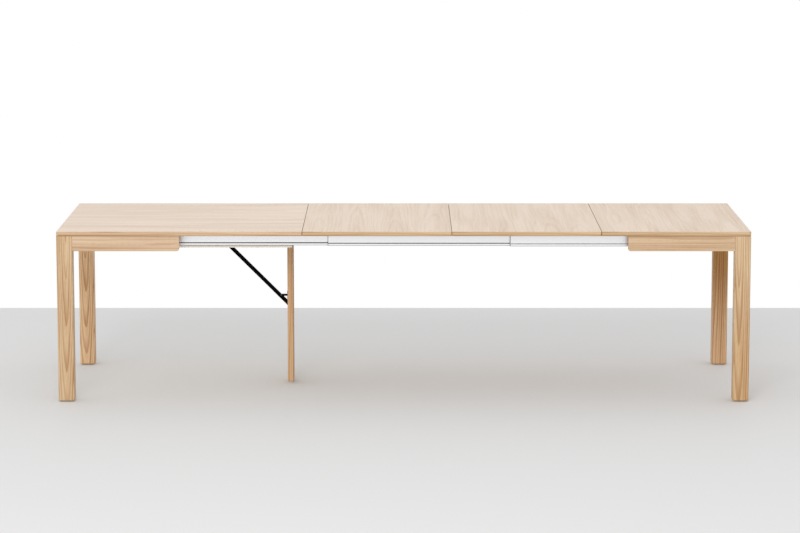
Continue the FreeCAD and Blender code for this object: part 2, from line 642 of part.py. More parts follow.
leg_leaf_x = f"({LEG_FACE} - hinge_leaf_thick)"
middle_y = f"(-{knuckle} / 2 + knuckle_gap)"
middle_wide = f"({knuckle} - 2 * knuckle_gap)"
blanks["hinge_leg_leaf"] = fuse("hinge_leg_leaf_blank", [
    box(
        "hinge_leg_plate",
        (leg_leaf_x, "(-hinge_width / 2)", f"({HINGE_Z} - hinge_leaf_length)"),
        ("hinge_leaf_thick", "hinge_width", leaf_reach),
    ),
    box(
        "hinge_middle_tab",
        (leg_leaf_x, middle_y, f"({HINGE_Z} - {HINGE_OFFSET})"),
        ("hinge_leaf_thick", middle_wide, HINGE_OFFSET),
    ),
    rod("hinge_middle_knuckle", "y", (HINGE_X, middle_y, HINGE_Z), "knuckle_radius", middle_wide),
])
holes["hinge_leg_leaf"].append(pin_bore)
blanks["hinge_pin"] = rod(
    "hinge_pin_rod", "y", (HINGE_X, "(-hinge_width / 2)", HINGE_Z), "hinge_pin_radius", "hinge_width",
)

board_fitting_screws = []
leg_fitting_screws = []
for row, down in enumerate(HINGE_ALONG_SHARES, start=1):
    for column, aside in enumerate(HINGE_ACROSS_SHARES, start=1):
        screw_y = f"({aside} * hinge_width)"
        board_fitting_screws.append(screw(
            f"hinge_board_screw_{row}_{column}", "z", 1,
            (f"({HINGE_X} - {down} * hinge_leaf_length)", screw_y, board_leaf_z),
            "(hinge_leaf_thick + board_bite)", ("hinge_board_leaf", "carrier_board"),
        ))
        leg_fitting_screws.append(screw(
            f"hinge_leg_screw_{row}_{column}", "x", 1,
            (leg_leaf_x, screw_y, f"({HINGE_Z} - {down} * hinge_leaf_length)"),
            "(hinge_leaf_thick + support_bite)", ("hinge_leg_leaf", "support_leg"),
        ))

# The bracket on the board: a saddle plate over the slot, whose ears hold the brace's rivet.
bracket_half = f"({BOARD_SLOT_HALF} + bracket_flange)"
bracket = [box(
    "brace_bracket_plate",
    (f"({PIVOT_X} - bracket_length / 2)", f"(-{bracket_half})", RAIL_FLOOR),
    ("bracket_length", f"(2 * {bracket_half})", "ear_thick"),
)]
for side, ear_y in zip(SIDES, (f"(-{EAR_FACE} - ear_thick)", EAR_FACE)):
    ear_corner = (f"({PIVOT_X} - brace_width / 2)", ear_y, PIVOT_Z)
    ear_size = ("brace_width", "ear_thick", "(brace_pivot_drop + ear_thick)")
    bracket.append(box(f"brace_{side}_ear", ear_corner, ear_size))
    ear_end = (PIVOT_X, ear_y, PIVOT_Z)
    bracket.append(rod(f"brace_{side}_ear_end", "y", ear_end, "(brace_width / 2)", "ear_thick"))
blanks["brace_bracket"] = fuse("brace_bracket_blank", bracket)
rivet_half = f"({EAR_FACE} + ear_thick)"
rivet_start = (PIVOT_X, f"(-{rivet_half})", PIVOT_Z)
rivet_length = f"(2 * {rivet_half})"
bore_radius = "(brace_pin_radius + hinge_pin_fit)"
pivot_bore = rod("brace_pivot_bore", "y", rivet_start, bore_radius, rivet_length)
holes["brace_bracket"].append(pivot_bore)
rivet = [rod("brace_rivet_shank", "y", rivet_start, "brace_pin_radius", rivet_length)]
for side, head_y in zip(SIDES, (f"(-{rivet_half} - rivet_head_thick)", rivet_half)):
    head_start = (PIVOT_X, head_y, PIVOT_Z)
    rivet.append(rod(f"brace_rivet_{side}_head", "y", head_start, "rivet_head_radius", "rivet_head_thick"))
blanks["brace_pin"] = fuse("brace_rivet", rivet)
for row, share in enumerate(BRACKET_ALONG_SHARES, start=1):
    for column, aside in enumerate((-1, 1), start=1):
        board_fitting_screws.append(screw(
            f"brace_bracket_screw_{row}_{column}", "z", -1,
            (f"({PIVOT_X} + {share} * bracket_length)",
             f"({aside} * ({BOARD_SLOT_HALF} + bracket_flange / 2))",
             f"({RAIL_FLOOR} + ear_thick)"),
            "(ear_thick + board_bite)", ("brace_bracket", "carrier_board"),
        ))
blanks["board_fitting_screws"] = group("board_fittings", board_fitting_screws)

# The catch on the leg: a plate with a lug that lies in the brace's notch.
catch_tip = f"({LEG_FACE} - {CATCH_REACH})"
catch_floor = f"({CATCH_Z} - catch_thick / 2)"
catch_seat = f"({LEG_FACE} - catch_plate_thick)"
blanks["brace_catch"] = fuse("brace_catch_blank", [
    box(
        "catch_plate",
        (catch_seat, "(-catch_plate_width / 2)", f"({CATCH_Z} - catch_plate_height / 2)"),
        ("catch_plate_thick", "catch_plate_width", "catch_plate_height"),
    ),
    box(
        "catch_lug",
        (catch_tip, "(-catch_width / 2)", catch_floor),
        (CATCH_REACH, "catch_width", "catch_thick"),
    ),
])
for number, share in enumerate(CATCH_SCREW_SHARES, start=1):
    leg_fitting_screws.append(screw(
        f"catch_screw_{number}", "x", 1,
        (catch_seat, "0", f"({CATCH_Z} + {share} * catch_plate_height)"),
        "(catch_plate_thick + support_bite)", ("brace_catch", "support_leg"),
    ))
blanks["leg_fitting_screws"] = group("leg_fittings", leg_fitting_screws)

# The brace: a flat bar from the bracket down to the leg, cut off along the leg's face.
brace_bar = box(
    "brace_bar",
    (f"({PIVOT_X} - brace_width / 2 * brace_drop / {BRACE_SPAN})", "(-brace_thick / 2)",
     f"({PIVOT_Z} - brace_width / 2 * brace_reach / {BRACE_SPAN})"),
    (f"({BRACE_SPAN} + brace_width)", "brace_thick", "brace_width"),
)
brace_bar.Placement = FreeCAD.Placement(brace_bar.Placement.Base, TURNS["x"])
bind(brace_bar, "Placement.Rotation.Angle", "atan(brace_drop / brace_reach)")
brace_end_start = (PIVOT_X, "(-brace_thick / 2)", PIVOT_Z)
brace_end = rod("brace_end", "y", brace_end_start, "(brace_width / 2)", "brace_thick")
blanks["brace"] = fuse("brace_blank", [brace_bar, brace_end])
holes["brace"].append(pivot_bore)
holes["brace"].append(box(
    "brace_notch",
    (f"({catch_tip} - catch_gap)", "(-brace_thick)", f"({catch_floor} - catch_gap)"),
    (f"({CATCH_REACH} + catch_gap)", "(2 * brace_thick)", "brace_width"),
))
holes["brace"].append(box(
    "brace_foot_face",
    (f"({LEG_FACE} - brace_foot_gap)", "(-brace_thick)", f"({PIVOT_Z} - {BRACE_SPAN} - brace_width)"),
    ("(2 * brace_width)", "(2 * brace_thick)", f"({BRACE_SPAN} + brace_width)"),
))

# Each piece gets its holes and its name, and is checked before anything is written.
nodes = {}
for label, blank in blanks.items():
    nodes[label] = cut(f"{label}_drilled", blank, holes[label]) if holes[label] else blank
    nodes[label].Label = label
doc.recompute()

failed = [item.Name for item in doc.Objects if {"Invalid", "Error"} & set(item.State)]
if failed:
    raise RuntimeError(f"objects that failed: {failed}")
for label, item in nodes.items():
    if item.Shape.isNull() or not item.Shape.isValid() or not item.Shape.Solids:
        raise RuntimeError(f"{label} has no valid shape")

os.makedirs("parts", exist_ok=True)
for label, item in nodes.items():
    item.Shape.exportStep(f"parts/{label}.step")
    print(label, len(item.Shape.Solids), round(item.Shape.Volume))
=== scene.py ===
import math

import bmesh
import bpy
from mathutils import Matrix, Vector


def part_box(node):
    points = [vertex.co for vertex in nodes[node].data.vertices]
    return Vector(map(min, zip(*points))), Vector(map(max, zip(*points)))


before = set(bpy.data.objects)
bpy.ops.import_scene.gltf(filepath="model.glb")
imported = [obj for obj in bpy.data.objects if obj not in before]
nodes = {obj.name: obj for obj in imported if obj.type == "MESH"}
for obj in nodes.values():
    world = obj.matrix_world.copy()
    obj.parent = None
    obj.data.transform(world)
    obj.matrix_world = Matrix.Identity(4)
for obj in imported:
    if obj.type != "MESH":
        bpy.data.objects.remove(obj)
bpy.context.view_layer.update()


# Corner legs: square posts of solid ash, planed, with eased edges and a matt lacquer.
# Each is cut from its own plank, so the rings run differently down every leg.
def srgb(red, green, blue):
    """A colour as it is read off a screen, as linear values for a socket."""
    linear = []
    for level in (red, green, blue):
        share = level / 255
        linear.append(share / 12.92 if share <= 0.04045 else ((share + 0.055) / 1.055) ** 2.4)
    return linear + [1]


def put(tree, kind, sockets, **options):
    """Adds a shader node, sets its options, and fills its sockets with values or other sockets."""
    node = tree.nodes.new(f"ShaderNode{kind}")
    for name, value in options.items():
        setattr(node, name, value)
    for name, value in sockets.items():
        if isinstance(value, bpy.types.NodeSocket):
            tree.links.new(value, node.inputs[name])
        else:
            node.inputs[name].default_value = value
    return node


def sums(tree, operation, first, second=0.0):
    return put(tree, "Math", {0: first, 1: second}, operation=operation).outputs[0]


def ramp(tree, value, start, rise):
    """Goes from the start by the whole rise while the value goes from 0 to 1."""
    return sums(tree, "ADD", start, sums(tree, "MULTIPLY", value, rise))


def step(tree, value, none, full):
    """A mask that goes smoothly from 0 where the value is none to 1 where it is full."""
    sockets = {"Value": value, "From Min": none, "From Max": full}
    return put(tree, "MapRange", sockets, interpolation_type="SMOOTHSTEP").outputs["Result"]


def axes(tree, vector):
    return put(tree, "SeparateXYZ", {0: vector}).outputs


def vectors(tree, operation, first, second):
    return put(tree, "VectorMath", {0: first, 1: second}, operation=operation).outputs[0]


def scaled(tree, vector, factor):
    return put(tree, "VectorMath", {0: vector, "Scale": factor}, operation="SCALE").outputs[0]


def noise(tree, vector, waves, detail, output="Fac"):
    """Noise drawn out by its numbers of waves to a metre along the three axes."""
    drawn_out = vectors(tree, "MULTIPLY", vector, waves)
    sockets = {"Vector": drawn_out, "Scale": 1, "Detail": detail}
    return put(tree, "TexNoise", sockets).outputs[output]


def between(tree, share, first, second, blend="MIX"):
    """The first colour where the share is 0, and the second laid over it where the share is 1."""
    sockets = {"Factor": share, "A": first, "B": second}
    return put(tree, "Mix", sockets, data_type="RGBA", blend_type=blend).outputs["Result"]


def new_group(name, inputs, outputs):
    """A node group, with the sockets that it is given and those that it gives."""
    tree = bpy.data.node_groups.new(name, "ShaderNodeTree")
    for way, sockets in (("INPUT", inputs), ("OUTPUT", outputs)):
        for socket, kind in sockets.items():
            tree.interface.new_socket(socket, in_out=way, socket_type=f"NodeSocket{kind}")
    return tree, tree.nodes.new("NodeGroupInput").outputs, tree.nodes.new("NodeGroupOutput").inputs


def give(tree, made, **results):
    """Leads results to a group's outputs of the same names."""
    for name, result in results.items():
        tree.links.new(result, made[name])


def use(tree, group, sockets):
    """Places a group in a tree, and returns its outputs by name."""
    return {output.name: output for output in put(tree, "Group", sockets, node_tree=group).outputs}


# The timber's figure: growth rings round a pith that runs along X, wandering as the tree grew.
# Each noise has its waves to a metre, along the grain and across it, and its detail.
FINISH = {"Colour": "Color", "Roughness": "Float", "Height": "Float"}
ACROSS_GRAIN = (0, 1, 1)
NOISE_MEAN = 0.5
WANDER_NOISE = ((0.9, 6, 6), 1.5)
RIPPLE_NOISE, RIPPLE = ((5, 45, 45), 1), 0.0025
UNEVEN_NOISE, UNEVEN_YEARS = (0.45, 1), 1.6
STRENGTH_NOISE, STRENGTH_SHIFT, WEAKEST_YEAR = (0.33, 0), 50.0, 0.35
LATE_WOOD, YEAR_END, EARLY_WOOD = (0.35, 0.92), (1.0, 0.93), (0.5, 0.15)
STREAK_NOISE = ((2.2, 110, 110), 2)
FIBRE_NOISE, FIBRE_TONE = ((14, 1100, 1100), 2), 0.35
TINT_NOISE, TINT_TONE, EVEN_TINT = ((1.4, 12, 12), 1), 0.8, 0.35
PORE_NOISE, PORE_TONE, PORE_EDGE = ((40, 2400, 2400), 0), 0.5, (0.62, 0.72)
PORE_GROOVE, LATE_GROOVE = 0.8, 0.25
TIMBER_ROUGHNESS = (0.44, 0.16)


def astray(tree, vector, drift, reach):
    """Shifts that wander to all sides by up to half the reach."""
    shift = vectors(tree, "SUBTRACT", noise(tree, vector, *drift, "Color"), (NOISE_MEAN,) * 3)
    return scaled(tree, shift, reach)


def by_year(tree, years, scale, detail):
    """Noise that changes from ring to ring."""
    sockets = {"W": years, "Scale": scale, "Detail": detail}
    return put(tree, "TexNoise", sockets, noise_dimensions="1D").outputs["Fac"]


timber_figure, given, made = new_group(
    "timber_figure",
    {"Vector": "Vector", "Pith": "Vector", "Lean": "Vector", "Ring Width": "Float",
     "Wander": "Float", "Pale": "Color", "Dark": "Color", "Rings": "Float", "Streaks": "Float"},
    FINISH,
)
tree, place = timber_figure, given["Vector"]
leaning = scaled(tree, given["Lean"], axes(tree, place)["X"])
inside = vectors(tree, "ADD", vectors(tree, "SUBTRACT", place, given["Pith"]), leaning)
wander = astray(tree, place, WANDER_NOISE, given["Wander"])
ripple = astray(tree, place, RIPPLE_NOISE, RIPPLE)
bent = vectors(tree, "ADD", vectors(tree, "ADD", inside, wander), ripple)
across = vectors(tree, "MULTIPLY", bent, ACROSS_GRAIN)
radius = put(tree, "VectorMath", {0: across}, operation="LENGTH").outputs["Value"]
years = sums(tree, "DIVIDE", radius, given["Ring Width"])
uneven = by_year(tree, years, *UNEVEN_NOISE)
years = sums(tree, "ADD", years, sums(tree, "MULTIPLY", uneven, UNEVEN_YEARS))
part_year = sums(tree, "FRACT", years)
late = sums(tree, "MULTIPLY", step(tree, part_year, *LATE_WOOD), step(tree, part_year, *YEAR_END))
strength = by_year(tree, sums(tree, "ADD", years, STRENGTH_SHIFT), *STRENGTH_NOISE)
late = sums(tree, "MULTIPLY", late, sums(tree, "ADD", WEAKEST_YEAR, strength))
streak = noise(tree, bent, *STREAK_NOISE)
fibre = noise(tree, place, *FIBRE_NOISE)
tint = noise(tree, place, *TINT_NOISE)
pores = step(tree, noise(tree, place, *PORE_NOISE), *PORE_EDGE)
pores = sums(tree, "MULTIPLY", pores, step(tree, part_year, *EARLY_WOOD))
depth = sums(tree, "MULTIPLY", late, given["Rings"])
for shade, even, tone in (
    (streak, NOISE_MEAN, given["Streaks"]), (fibre, NOISE_MEAN, FIBRE_TONE),
    (tint, EVEN_TINT, TINT_TONE),
):
    darker = sums(tree, "SUBTRACT", shade, even)
    depth = sums(tree, "ADD", depth, sums(tree, "MULTIPLY", darker, tone))
depth = sums(tree, "ADD", depth, sums(tree, "MULTIPLY", pores, PORE_TONE))
grooves = sums(tree, "MULTIPLY", pores, PORE_GROOVE)
grooves = sums(tree, "ADD", grooves, sums(tree, "MULTIPLY", late, LATE_GROOVE))
give(
    tree, made,
    Colour=between(tree, depth, given["Pale"], given["Dark"]),
    Roughness=ramp(tree, fibre, *TIMBER_ROUGHNESS),
    Height=sums(tree, "SUBTRACT", fibre, grooves),
)

TURNS = {"X": (0, 0, 0), "Y": (0, 0, math.radians(90)), "Z": (0, math.radians(-90), 0)}
SOFT_BUMP = 0.3
TIMBER_GLOSS, TIMBER_DEPTH = 0.4, 0.0003


def new_material(name):
    material = bpy.data.materials.new(name)
    material.use_nodes = True
    return material, material.node_tree, material.node_tree.nodes["Principled BSDF"]


def place_on(tree, kind="Object"):
    return put(tree, "TexCoord", {}).outputs[kind]


def from_centre(tree, centre, grain):
    """Coordinates round a piece's own centre, with X along its grain."""
    sockets = {"Vector": place_on(tree), "Location": centre, "Rotation": TURNS[grain]}
    return put(tree, "Mapping", sockets, vector_type="TEXTURE").outputs[0]


def finish_with(tree, shader, finish, depth, strength=SOFT_BUMP):
    """Leads a finish's colour, roughness and height to the shader."""
    tree.links.new(finish["Colour"], shader.inputs["Base Color"])
    tree.links.new(finish["Roughness"], shader.inputs["Roughness"])
    bump = put(tree, "Bump", {"Height": finish["Height"], "Distance": depth, "Strength": strength})
    tree.links.new(bump.outputs["Normal"], shader.inputs["Normal"])


def timber(name, centre, grain, figure):
    material, tree, shader = new_material(name)
    finish = use(tree, timber_figure, {"Vector": from_centre(tree, centre, grain), **figure})
    shader.inputs["Specular IOR Level"].default_value = TIMBER_GLOSS
    finish_with(tree, shader, finish, TIMBER_DEPTH)
    return material


def darken(material, mask, colour):
    """Multiplies the material's own colour by another one where the mask is 1."""
    tree = material.node_tree
    base = tree.nodes["Principled BSDF"].inputs["Base Color"]
    bare = base.links[0].from_socket
    tree.links.new(between(tree, mask, bare, colour, "MULTIPLY"), base)


def dress(material, *names):
    for name in names:
        nodes[name].material_slots[0].material = material


def middle(name):
    low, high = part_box(name)
    return (low + high) / 2


ASH = {
    "Pale": srgb(215, 184, 146), "Dark": srgb(168, 121, 76),
    "Wander": 0.02, "Rings": 0.7, "Streaks": 0.8,
}
LEGS = {
    "front_left_leg": {
        **ASH, "Pale": srgb(216, 188, 150), "Dark": srgb(168, 124, 79), "Ring Width": 0.0055,
        "Pith": (0, -0.012, -0.006), "Lean": (0, 0.032, 0.006),
    },
    "rear_left_leg": {
        **ASH, "Pale": srgb(234, 200, 158), "Dark": srgb(168, 117, 71), "Ring Width": 0.0055,
        "Pith": (0, -0.012, 0.002), "Lean": (0, 0.040, 0.004),
    },
    "front_right_leg": {
        **ASH, "Pale": srgb(220, 193, 155), "Dark": srgb(172, 127, 82), "Ring Width": 0.006,
        "Pith": (0, -0.012, 0.012), "Lean": (0, 0.026, -0.012),
    },
    "rear_right_leg": {
        **ASH, "Pale": srgb(223, 186, 144), "Dark": srgb(160, 109, 64), "Ring Width": 0.008,
        "Pith": (0, -0.010, 0.040), "Lean": (0, 0.012, 0.010),
    },
}
for leg, figure in LEGS.items():
    dress(timber(f"{leg}_ash", middle(leg), "Z", figure), leg)

# Painted shade darkens the rear right leg towards its top, where the table top shades it; the front
# right leg is darker towards its foot.
# Their heights are where the darkening starts and where it is full.
PAINTED_SHADE_AND_DARK_FOOT = {
    "front_right_leg": (0.46, 0.18, srgb(246, 236, 223)),
    "rear_right_leg": (0.12, 0.54, srgb(222, 202, 150)),
}
for leg, (start, full, colour) in PAINTED_SHADE_AND_DARK_FOOT.items():
    material = nodes[leg].material_slots[0].material
    tree = material.node_tree
    height = axes(tree, place_on(tree))["Z"]
    darken(material, step(tree, height, start, full), colour)


# Aprons: thin ash boards set just behind the legs' faces, their grain along the board.
# The side ones end free, with a rounded lower corner; the end ones are dowelled between two legs.
LEFT_APRONS = {
    **ASH, "Pale": srgb(217, 189, 158), "Dark": srgb(172, 130, 88), "Ring Width": 0.0055,
    "Wander": 0.03, "Rings": 0.45,
}
RIGHT_APRONS = {**LEFT_APRONS, "Pale": srgb(214, 185, 151), "Dark": srgb(169, 126, 83)}
APRONS = {
    "front_left_apron": ("X", LEFT_APRONS, (0, 0.040, -0.004), (0, 0.006, 0.010)),
    "front_right_apron": ("X", RIGHT_APRONS, (0, 0.050, 0.030), (0, -0.005, 0.012)),
    "rear_left_apron": ("X", LEFT_APRONS, (0, -0.045, 0.010), (0, 0.006, -0.010)),
    "rear_right_apron": ("X", RIGHT_APRONS, (0, -0.050, -0.020), (0, 0.008, 0.008)),
    "left_end_apron": ("Y", LEFT_APRONS, (0, -0.08, 0.003), (0, 0.006, 0.010)),
    "right_end_apron": ("Y", RIGHT_APRONS, (0, 0.075, 0.003), (0, 0.006, 0.010)),
}
for apron, (grain, wood, pith, lean) in APRONS.items():
    figure = {**wood, "Pith": pith, "Lean": lean}
    dress(timber(f"{apron}_ash", middle(apron), grain, figure), apron)


# Corner blocks, rail spacers, dowels and pins: plain beech, left raw, out of sight under the top.
# The blocks and spacers are sawn and screwed in place; the dowels and pins are turned and glued.
BEECH = {
    "Pale": srgb(214, 180, 147), "Dark": srgb(184, 142, 107), "Ring Width": 0.003, "Wander": 0.02,
    "Rings": 0.35, "Streaks": 0.5, "Pith": (0, 0.09, 0.03), "Lean": (0, 0.01, 0),
}
BEECH_PIECES = {
    "beech_blocks": ("Z", "front_left_corner_block", "front_right_corner_block",
                     "rear_left_corner_block", "rear_right_corner_block"),
    "beech_spacers": ("X", "rail_spacers"),
    "beech_dowels": ("Y", "left_end_dowels", "right_end_dowels"),
    "beech_pins": ("X", "main_top_pins", "leaf_1_pins", "leaf_2_pins"),
}
for name, (grain, *pieces) in BEECH_PIECES.items():
    dress(timber(name, (0, 0, 0), grain, BEECH), *pieces)


# Top and leaves: board faced with flat-cut ash veneer in sheets laid side by side, matt lacquered.
# The main top's grain runs along the table and the leaves' across it.
# Each sheet is cut at its own place along a log, at its own distance from the pith.
SHEET_SWAY = 0.3
LOG_LENGTH, LOG_SPACING = 4.0, 3.0
NEAREST_CUT, CUT_SPREAD = 0.06, 0.03


def joined(tree, x, y, z):
    return put(tree, "CombineXYZ", {0: x, 1: y, 2: z}).outputs[0]


veneer_figure, given, made = new_group(
    "veneer_figure",
    {"Vector": "Vector", "Sheet Width": "Float", "Ring Width": "Float", "Wander": "Float",
     "Lean": "Float", "Pale": "Color", "Dark": "Color", "Rings": "Float", "Streaks": "Float"},
    FINISH,
)
tree = veneer_figure
place = axes(tree, given["Vector"])
sheet = sums(tree, "DIVIDE", place["Y"], given["Sheet Width"])
number = sums(tree, "FLOOR", sheet)
chance = put(tree, "TexWhiteNoise", {"W": number}, noise_dimensions="1D").outputs["Color"]
cut_along, sway, log = axes(tree, chance)
off_centre = sums(tree, "SUBTRACT", sheet, number)
off_centre = sums(tree, "ADD", off_centre, sums(tree, "MULTIPLY", sway, SHEET_SWAY))
off_centre = sums(tree, "SUBTRACT", off_centre, 0.5 + SHEET_SWAY / 2)
on_sheet = joined(
    tree,
    sums(tree, "ADD", place["X"], sums(tree, "MULTIPLY", cut_along, LOG_LENGTH)),
    sums(tree, "MULTIPLY", off_centre, given["Sheet Width"]),
    sums(tree, "MULTIPLY", log, LOG_SPACING),
)
pith = sums(tree, "MULTIPLY", log, LOG_SPACING - CUT_SPREAD)
pith = joined(tree, 0.0, 0.0, sums(tree, "SUBTRACT", pith, NEAREST_CUT))
lean = joined(tree, 0.0, 0.0, given["Lean"])
PASSED_ON = ("Ring Width", "Wander", "Pale", "Dark", "Rings", "Streaks")
figure = {name: given[name] for name in PASSED_ON}
figure.update({"Vector": on_sheet, "Pith": pith, "Lean": lean})
give(tree, made, **use(tree, timber_figure, figure))

# On a panel's edges the board's core shows, dark pressed chips, its darkness partly painted shade
# for the joints between panels.
# Along a joint a thin band of the top is painted dark too, painted shade for the gap.
LEAVES = ("leaf_1", "leaf_2", "leaf_3")
HALF_JOINT = (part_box("leaf_1")[0].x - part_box("main_top")[1].x) / 2
JOINT_SHADE_WIDTH, JOINT_SHADE_TONE = 0.0006, 0.6
CRUMB_NOISE = ((300, 300, 700), 3)
CORE_DARK, CORE_PALE = srgb(58, 40, 26), srgb(106, 76, 50)
UPRIGHT = (0.8, 0.5)
bare_edges, given, made = new_group(
    "bare_edges", {"Colour": "Color", "Vector": "Vector", "Normal": "Vector"}, {"Colour": "Color"},
)
tree = bare_edges
along_table = axes(tree, given["Vector"])["X"]
joint_shade = 0.0
for leaf in LEAVES:
    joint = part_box(leaf)[0].x - HALF_JOINT
    from_joint = sums(tree, "ABSOLUTE", sums(tree, "SUBTRACT", along_table, joint))
    # Painted shade: a thin dark band along each joint between panels.
    at_joint = sums(tree, "LESS_THAN", from_joint, HALF_JOINT + JOINT_SHADE_WIDTH)
    joint_shade = sums(tree, "MAXIMUM", joint_shade, at_joint)
core = between(tree, noise(tree, given["Vector"], *CRUMB_NOISE), CORE_DARK, CORE_PALE)
flat = sums(tree, "ABSOLUTE", axes(tree, given["Normal"])["Z"])
bare = sums(tree, "MAXIMUM", step(tree, flat, *UPRIGHT), sums(tree, "MULTIPLY", joint_shade, JOINT_SHADE_TONE))
give(tree, made, Colour=between(tree, bare, given["Colour"], core))

VENEER_GLOSS, VENEER_DEPTH = 0.35, 0.0002


def veneer(name, start, grain, sheets):
    """Sheets laid side by side from the start, with the board's core on the panel's edges."""
    material, tree, shader = new_material(name)
    finish = use(tree, veneer_figure, {"Vector": from_centre(tree, start, grain), **sheets})
    edged = {
        "Colour": finish["Colour"], "Vector": place_on(tree), "Normal": place_on(tree, "Normal"),
    }
    shader.inputs["Specular IOR Level"].default_value = VENEER_GLOSS
    finish_with(tree, shader, {**finish, **use(tree, bare_edges, edged)}, VENEER_DEPTH)
    return material


MAIN_SHEETS = {
    "Pale": srgb(236, 219, 203), "Dark": srgb(203, 175, 146), "Sheet Width": 0.27,
    "Ring Width": 0.009, "Wander": 0.04, "Lean": 0.008, "Rings": 0.38, "Streaks": 0.6,
}
LEAF_SHEETS = {
    "Pale": srgb(232, 214, 196), "Dark": srgb(203, 175, 146), "Sheet Width": 0.16,
    "Ring Width": 0.007, "Wander": 0.045, "Lean": 0.010, "Rings": 0.26, "Streaks": 0.7,
}
main_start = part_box("main_top")[0]
leaf_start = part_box("leaf_1")[0]
dress(veneer("main_top_veneer", main_start, "X", MAIN_SHEETS), "main_top")
dress(veneer("leaf_veneer", leaf_start, "Y", LEAF_SHEETS), *LEAVES)


# Lipping: strips of solid ash glued round the outer edges of the top and the leaves, arrises eased.
# The veneer is laid over them, so only their upright faces and arrises show the solid wood.
FACING_UP, FACING_DOWN = (0.55, 0.9), (-0.1, -0.7)
UNDERSIDE_SHADE = srgb(190, 170, 148)
veneered_strip, given, made = new_group(
    "veneered_strip",
    {"Strip": "Color", "Veneer": "Color", "Normal": "Vector"},
    {"Colour": "Color"},
)
tree = veneered_strip
upward = axes(tree, given["Normal"])["Z"]
# Faces of the strips turned down are painted darker: painted shade under the top's edge.
underside_shade = step(tree, upward, *FACING_DOWN)
strip = between(tree, underside_shade, given["Strip"], UNDERSIDE_SHADE, "MULTIPLY")
give(tree, made, Colour=between(tree, step(tree, upward, *FACING_UP), strip, given["Veneer"]))

MAIN_STRIPS = {
    **ASH, "Pale": srgb(215, 185, 152), "Dark": srgb(170, 126, 82), "Ring Width": 0.007,
    "Wander": 0.05, "Rings": 0.55, "Streaks": 0.7,
    "Pith": (0, -0.50, 0.02), "Lean": (0, 0.008, 0.010),
}
LEAF_STRIPS = {**MAIN_STRIPS, "Pale": srgb(212, 182, 144), "Dark": srgb(166, 123, 76)}
LIPPED = {"main_top": (MAIN_STRIPS, main_start, "X", MAIN_SHEETS)}
LIPPED.update({leaf: (LEAF_STRIPS, leaf_start, "Y", LEAF_SHEETS) for leaf in LEAVES})
for panel, (wood, start, grain, sheets) in LIPPED.items():
    strips = f"{panel}_lipping"
    material, tree, shader = new_material(f"{strips}_ash")
    low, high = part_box(panel)
    along_table = axes(tree, place_on(tree))["X"]
    left_end = sums(tree, "LESS_THAN", along_table, low.x)
    right_end = sums(tree, "GREATER_THAN", along_table, high.x)
    centre = middle(strips)
    ways = {
        "Factor": sums(tree, "MAXIMUM", left_end, right_end),
        "A": from_centre(tree, centre, "X"), "B": from_centre(tree, centre, "Y"),
    }
    with_grain = put(tree, "Mix", ways, data_type="VECTOR").outputs["Result"]
    finish = use(tree, timber_figure, {"Vector": with_grain, **wood})
    laid = use(tree, veneer_figure, {"Vector": from_centre(tree, start, grain), **sheets})
    covered = {
        "Strip": finish["Colour"], "Veneer": laid["Colour"], "Normal": place_on(tree, "Normal"),
    }
    shader.inputs["Specular IOR Level"].default_value = TIMBER_GLOSS
    finish_with(tree, shader, {**finish, **use(tree, veneered_strip, covered)}, TIMBER_DEPTH)
    dress(material, strips)


# Telescopic rails: extruded aluminium with two running slots, satin anodised.
# The die leaves fine lines along them; the slots, the ends and the lower edges are painted dark,
# painted shade for the slots' hollows, the steps between stages and the shadow under each rail.
DIE_NOISE, CLOUD_NOISE = ((0.8, 900, 900), 2), ((3, 30, 30), 2)
END_SHADE_BAND, LOWER_SHADE_BAND, LOWER_SHADE_TONE = (0.0022, 0.0018), (0.0019, 0.0015), 0.8
SLOT_MIDDLES, HALF_SLOT = (0.677, 0.7135), 0.0023
ANODISED_DARK, ANODISED_PALE = srgb(236, 236, 237), srgb(240, 240, 241)
RAIL_SHADE = srgb(80, 80, 81)
RAIL_ROUGHNESS, RAIL_DEPTH, RAIL_BUMP = (0.26, 0.08), 0.00005, 0.06
anodised, given, made = new_group(
    "anodised",
    {"Vector": "Vector", "Middle": "Float", "Half Length": "Float", "Underside": "Float",
     "Slot Shade": "Float"},
    FINISH,
)
tree, place = anodised, given["Vector"]
die_lines = noise(tree, place, *DIE_NOISE)
along_rail, above = axes(tree, place)["X"], axes(tree, place)["Z"]
from_middle = sums(tree, "ABSOLUTE", sums(tree, "SUBTRACT", along_rail, given["Middle"]))
# Painted shade: dark bands at the rail's ends, along its lower edge and in its slots.
rail_shade = step(tree, sums(tree, "SUBTRACT", given["Half Length"], from_middle), *END_SHADE_BAND)
lower_edge = step(tree, sums(tree, "SUBTRACT", above, given["Underside"]), *LOWER_SHADE_BAND)
rail_shade = sums(tree, "MAXIMUM", rail_shade, sums(tree, "MULTIPLY", lower_edge, LOWER_SHADE_TONE))
for level in SLOT_MIDDLES:
    from_slot = sums(tree, "ABSOLUTE", sums(tree, "SUBTRACT", above, level))
    in_slot = sums(tree, "LESS_THAN", from_slot, HALF_SLOT)
    rail_shade = sums(tree, "MAXIMUM", rail_shade, sums(tree, "MULTIPLY", in_slot, given["Slot Shade"]))
bright = between(tree, noise(tree, place, *CLOUD_NOISE), ANODISED_DARK, ANODISED_PALE)
give(
    tree, made, Colour=between(tree, rail_shade, bright, RAIL_SHADE),
    Roughness=ramp(tree, die_lines, *RAIL_ROUGHNESS), Height=die_lines,
)

